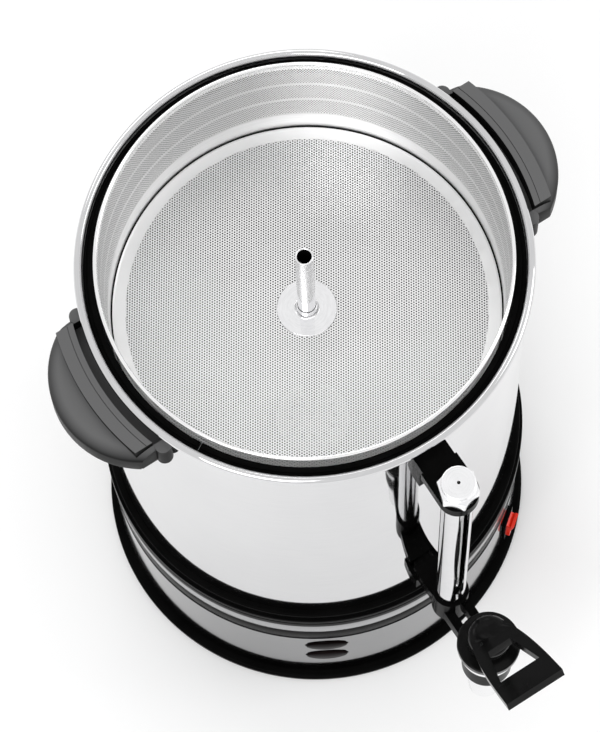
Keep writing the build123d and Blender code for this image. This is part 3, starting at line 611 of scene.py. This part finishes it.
def perforated_floor():
    """Thin sheet with a hexagonal grid of holes, kept between the boss and the edge of the field."""
    verts, faces = [], []
    p = HOLE_PITCH
    along = np.array([math.cos(LATTICE_TURN), math.sin(LATTICE_TURN)])
    across = np.array([-along[1], along[0]])
    cell_r = p / math.sqrt(3)
    hole_r = HOLE_ACROSS / 2
    reach = int(FIELD_R / (p * 0.8)) + 2
    index = {}

    def corner(point):
        key = (round(point[0] * FLOOR_SHARE), round(point[1] * FLOOR_SHARE))
        if key not in index:
            index[key] = len(verts)
            verts.append((point[0], point[1], FLOOR_Z))
        return index[key]

    for j in range(-reach, reach + 1):
        for i in range(-reach, reach + 1):
            centre = along * (i + j * 0.5) * p + across * (j * p * math.sqrt(3) / 2)
            far = float(np.hypot(*centre))
            if far > FIELD_R - FIELD_EDGE or far < BOSS_R - BOSS_COVERS:
                continue
            outer, inner = [], []
            for k in range(6):
                a = LATTICE_TURN + math.radians(30 + 60 * k)
                ray = np.array([math.cos(a), math.sin(a)])
                outer.append(corner(centre + ray * cell_r))
                inner.append(len(verts))
                hole = centre + ray * hole_r
                verts.append((hole[0], hole[1], FLOOR_Z))
            for k in range(6):
                m = (k + 1) % 6
                faces.append((outer[k], outer[m], inner[m], inner[k]))
    piece("basket_floor_sheet", verts, faces, floor_steel, "basket", ["basket_floor"])


def floor_margin():
    """Plain pressed margin round the field, with its step, and a black ring as painted shade in the gap before the
    wall.
    """
    outline = soft(
        [
            (109.7, 366.58), (111.2, 366.62, 0.3), (116.4, 366.75, 1.0), (117.8, 366.2, 0.4), (117.8, 365.4),
            (109.7, 365.9),
        ],
        4,
    )
    lathe("basket_floor_margin", outline, floor_steel, "basket")
    # Painted shade: a black ring fills the gap between the floor margin and the wall.
    seat = [(117.8, 365.4), (118.9, 365.4), (118.9, 366.0), (117.8, 366.0)]
    lathe("basket_floor_gap_shade", seat, black_plastic, "basket")


def perforated_wall():
    """Basket side: plain strips and bands of holes between the rolled rim and the floor."""
    verts, faces = [], []
    index = {}

    def radius_at(z):
        return WALL_BASE_R + WALL_FLARE * (z - WALL_BASE_Z) / WALL_HEIGHT

    def spot_on(turn_by, z):
        r = radius_at(z)
        return (r * math.cos(turn_by), r * math.sin(turn_by), z)

    def corner(turn_by, z):
        key = (round((turn_by % (2 * math.pi)) * WALL_TURN_SHARE), round(z * WALL_Z_SHARE))
        if key not in index:
            index[key] = len(verts)
            verts.append(spot_on(turn_by, z))
        return index[key]

    step_turn = 2 * math.pi / WALL_COLUMNS
    step_z = (WALL_TOP_Z - WALL_FOOT_Z) / WALL_ROWS
    for row in range(WALL_ROWS):
        z0 = WALL_FOOT_Z + row * step_z
        z1 = z0 + step_z
        for col in range(WALL_COLUMNS):
            a0 = (col + (row % 2) * 0.5) * step_turn
            a1 = a0 + step_turn
            am = (a0 + a1) / 2
            zm = z0 + step_z / 2
            ring = [corner(a, z0) for a in (a0, am, a1)] + [corner(a, z1) for a in (a1, am, a0)]
            if row in WALL_PLAIN_ROWS:
                faces.append(tuple(ring))
                continue
            half_turn = step_turn * WALL_HOLE_WIDE
            half_z = step_z * WALL_HOLE_TALL
            inner = []
            for u, v in WALL_HOLE:
                inner.append(len(verts))
                verts.append(spot_on(am + half_turn * u, zm + half_z * v))
            for k in range(6):
                m = (k + 1) % 6
                faces.append((ring[k], ring[m], inner[m], inner[k]))
    piece("basket_wall_sheet", verts, faces, basket_steel, "basket", ["basket_wall"], sharp=60)


def basket_edges():
    """Plain strip above the floor, plain strip under the rim, and the rolled rim itself."""
    low = [(118.6, 366.0), (119.2, 366.0), (119.7, 385.02), (119.1, 385.02)]
    lathe("basket_wall_foot", low, basket_steel, "basket")
    bead = circle_points(121.9, 455.8, 1.2, -60, 215, 22)
    high = [(120.87, 450.98), (121.5, 450.98), (121.6, 454.6)] + bead + [(120.95, 454.4)]
    lathe("basket_rim", high, rim_steel, "basket", sharp=50)


def make_boss():
    """Disc and collar round the riser tube, in the middle of the basket floor."""
    outline = soft(
        [
            (5.8, 366.0), (6.45, 366.0), (6.45, 366.6), (18.0, 366.6), (18.5, 366.9, 0.3), (17.9, 367.4, 0.3),
            (7.6, 367.4, 0.8), (6.45, 368.2, 1.0), (6.45, 374.2, 0.3), (5.8, 374.2, 0.15),
        ],
        5,
    )
    lathe("basket_boss_disc", outline, mirror_steel, "basket", ["basket_boss"], steps=128)


def make_tube():
    """Riser tube, and a black sleeve in its bore as painted shade for the bore's depth."""
    outline = soft([(4.35, 145.8), (5.5, 145.8), (5.5, 458, 0.45), (4.35, 458, 0.35)], 4)
    lathe("riser_tube_pipe", outline, mirror_steel, "pump", ["riser_tube"], steps=96)
    # Painted shade: a black sleeve inside the bore.
    inside = [(4.1, 300), (4.35, 300), (4.35, 457.0), (4.1, 457.0)]
    lathe("riser_tube_bore_shade", inside, rubber, "pump", steps=64)


def make_pump_foot():
    """Domed foot with its ring of inlet holes, seen through the basket floor."""
    refined("pump_foot", shaded_foot_steel, 0.2)
    paint("foot_valve_washer", zinc)
    paint("tube_stop", mirror_steel)


perforated_floor()
floor_margin()
perforated_wall()
basket_edges()
make_boss()
make_tube()
make_pump_foot()

# ------------------------------------------------------------------ gauge, tap, handles, controls

SKIRT_OUT = 137.3
LENS_ANGLE = -119.5
LENS_HALF_TURN = 0.104
LENS_RISE = 1.4
LENS_AROUND = 72
LENS_GAP = 0.05
LENS_BACK = 2.2
LENS_LIP = ((1.0, 0.15), (0.96, 0.55))
LENS_SPRINGS_AT = 0.5


def make_gauge():
    refined("gauge_bracket", black_plastic, 0.7)
    refined("gauge_cap", cap_metal, 0.25)
    refined("gauge_guard_tube", gauge_chrome, 0.15)
    refined("gauge_glass", glass, 0.1)
    paint("gauge_seals", silicone)
    paint("gauge_bracket_screw", zinc)


def make_tap():
    refined("tap_body", black_plastic, 0.6)
    refined("tap_bonnet", gloss_black, 0.5)
    refined("tap_lever", gloss_black, 1.3, segments=5)
    refined("bonnet_ring", spout_chrome, 0.3)
    spout = soft(
        [
            (9.0, 118, 0.3), (10.5, 118, 0.6), (12.0, 150, 12), (14.5, 160, 2.5), (14.5, 172, 1.2), (11.0, 172),
            (11.0, 160), (9.0, 150),
        ],
        6,
    )
    lathe("tap_spout_tube", spout, spout_chrome, "urn", ["tap_spout"], 0, VALVE_Y / MM, steps=128)
    paint("lever_pin", zinc)
    paint("valve_stem", zinc)
    paint("valve_spring", zinc)
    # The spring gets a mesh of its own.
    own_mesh(frame["nodes"]["valve_spring"])
    paint("seat_cup", silicone)
    paint("tap_gasket", silicone)
    refined("tap_back_nut", gauge_chrome, 0.3)


def make_handles():
    for side_name in ("left", "right"):
        refined(side_name + "_handle_bracket", handle_plastic, 0.4)
        refined(side_name + "_handle_grip", handle_plastic, 0.6)
    paint("handle_screws", zinc)


def domed_lens(node):
    """Oval lamp cover: a smoked dome that rises out of the skirt, with a flat rim and a short back."""
    low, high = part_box(node)
    low, high = low / MM, high / MM
    middle = (low + high) / 2
    turn_to = math.radians(LENS_ANGLE)
    half_tall = (high.z - low.z) / 2 - LENS_GAP
    foot = SKIRT_OUT + LENS_SPRINGS_AT
    rings = [(1.0, SKIRT_OUT - LENS_BACK)] + [(scale, SKIRT_OUT + out) for scale, out in LENS_LIP]
    rings += [(math.cos(t), foot + LENS_RISE * math.sin(t)) for t in np.radians(np.arange(20, 90, 7))]
    around = LENS_AROUND
    verts, faces = [], []
    for scale, radius in rings:
        for k in range(around):
            a = 2 * math.pi * k / around
            sweep = turn_to + LENS_HALF_TURN * scale * math.cos(a)
            z = middle.z + half_tall * scale * math.sin(a)
            verts.append((radius * math.cos(sweep), radius * math.sin(sweep), z))
    for i in range(len(rings) - 1):
        for k in range(around):
            m = (k + 1) % around
            faces.append((i * around + k, i * around + m, (i + 1) * around + m, (i + 1) * around + k))
    faces.append(tuple(range(around))[::-1])
    top = (len(rings) - 1) * around
    faces.append(tuple(top + k for k in range(around)))
    piece(node + "_dome", verts, faces, lens_plastic, "urn", [node], 60)


def make_controls():
    refined("switch_housing", black_plastic, 0.3)
    refined("switch_rocker", red_plastic, 0.6)
    for node in ("upper_lamp_lens", "lower_lamp_lens"):
        domed_lens(node)
    paint("lamp_holders", pale_plastic)
    refined("cord_gland", black_plastic, 0.4)


def make_inside():
    paint("heater_block", aluminium)
    paint("heating_element", zinc)
    for node in ("thermostat", "thermal_cutout", "terminal_block"):
        paint(node, pale_plastic)
    refined("base_plate", zinc, 0.15)
    paint("base_plate_screws", zinc)


make_gauge()
make_tap()
make_handles()
make_controls()
make_inside()
